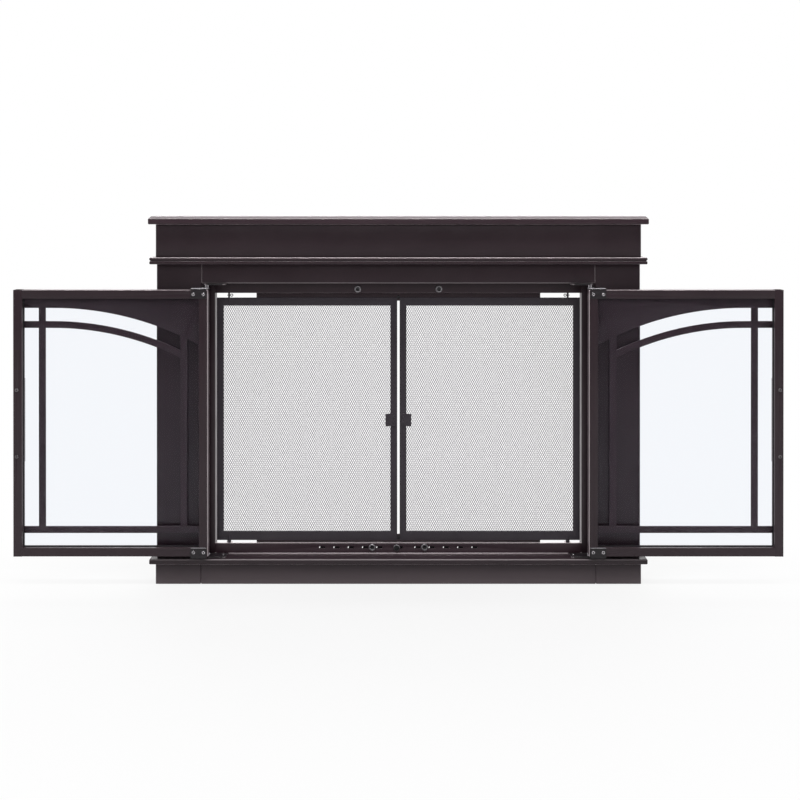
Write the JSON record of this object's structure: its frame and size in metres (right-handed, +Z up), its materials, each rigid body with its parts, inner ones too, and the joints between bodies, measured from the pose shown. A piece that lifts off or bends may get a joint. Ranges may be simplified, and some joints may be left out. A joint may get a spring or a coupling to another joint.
{
  "type": "fireplace glass door",
  "caption": "Steel fireplace surround with framed arched glass doors that swing open, hinged mesh screens behind them and a sliding draft shutter.",
  "frame": {"origin": "on the hearth at the middle of the width, in the plane of the masonry that the surround stands against", "axes": "+X to the right seen from the room, +Y into the fireplace (the front faces -Y), +Z up"},
  "size_m": [1.7608, 0.1662, 0.8443],
  "materials": {
    "coated_steel": "fine satin powder coat, dark oil-rubbed bronze",
    "magnet": "worn satin, dark steel",
    "fastener": "dark zinc",
    "clear_glass": "clear tempered",
    "gasket": "matt black heat-proof",
    "screen_frame": "satin dark bronze",
    "screen_mesh": "matt dark bronze"
  },
  "bodies": {
    "surround": {"mantel_cap": "coated_steel", "frieze_panel": "coated_steel", "mid_molding": "coated_steel", "header_panel": "coated_steel", "left_column": "coated_steel", "right_column": "coated_steel", "base_ledge": "coated_steel", "left_plinth": "coated_steel", "centre_plinth": "coated_steel", "right_plinth": "coated_steel", "inner_top_rail": "coated_steel", "inner_bottom_rail": "coated_steel", "left_jamb": "coated_steel", "right_jamb": "coated_steel", "top_stop_strip": "coated_steel", "bottom_stop_strip": "coated_steel", "left_hinge_brackets": "coated_steel", "right_hinge_brackets": "coated_steel", "lintel_clamps": "coated_steel", "floor_brackets": "coated_steel", "shutter_guide": "coated_steel", "magnet_catches": "magnet", "hinge_pins": "fastener", "bracket_screws": "fastener", "screen_bushings": "fastener", "clamp_screws": "fastener"},
    "left_door": {"left_door_free_stile": "coated_steel", "left_door_hinge_stile": "coated_steel", "left_door_top_rail": "coated_steel", "left_door_bottom_rail": "coated_steel", "left_door_glass": "clear_glass", "left_door_gasket": "gasket", "left_door_overlay": "coated_steel", "left_door_handle": "coated_steel", "left_door_handle_screws": "coated_steel", "left_door_hinge_plates": "coated_steel", "left_door_hinge_screws": "fastener"},
    "right_door": {"right_door_free_stile": "coated_steel", "right_door_hinge_stile": "coated_steel", "right_door_top_rail": "coated_steel", "right_door_bottom_rail": "coated_steel", "right_door_glass": "clear_glass", "right_door_gasket": "gasket", "right_door_overlay": "coated_steel", "right_door_handle": "coated_steel", "right_door_handle_screws": "coated_steel", "right_door_hinge_plates": "coated_steel", "right_door_hinge_screws": "fastener"},
    "left_screen": {"left_screen_frame": "screen_frame", "left_screen_mesh": "screen_mesh", "left_screen_pull": "screen_frame", "left_screen_rivets": "screen_frame", "left_screen_split_pin": "screen_frame"},
    "right_screen": {"right_screen_frame": "screen_frame", "right_screen_mesh": "screen_mesh", "right_screen_pull": "screen_frame", "right_screen_rivets": "screen_frame", "right_screen_split_pin": "screen_frame"},
    "shutter": {"shutter_plate": "coated_steel", "shutter_knob": "magnet"}
  },
  "joints": [
    {"name": "left_door_hinge", "type": "hinge", "parent": "surround", "child": "left_door", "pos_m": [-0.4415, -0.035, 0.3712], "axis": [0, 0, -1], "range_deg": [-180, 0]},
    {"name": "right_door_hinge", "type": "hinge", "parent": "surround", "child": "right_door", "pos_m": [0.4415, -0.035, 0.3712], "axis": [0, 0, 1], "range_deg": [-180, 0]},
    {"name": "left_screen_hinge", "type": "hinge", "parent": "surround", "child": "left_screen", "pos_m": [-0.3956, -0.0045, 0.3702], "axis": [0, 0, -1], "range_deg": [0, 105]},
    {"name": "right_screen_hinge", "type": "hinge", "parent": "surround", "child": "right_screen", "pos_m": [0.3956, -0.0045, 0.3702], "axis": [0, 0, 1], "range_deg": [0, 105]},
    {"name": "shutter_slide", "type": "slide", "parent": "surround", "child": "shutter", "axis": [1, 0, 0], "range_m": [-0.005, 0.012]}
  ]
}
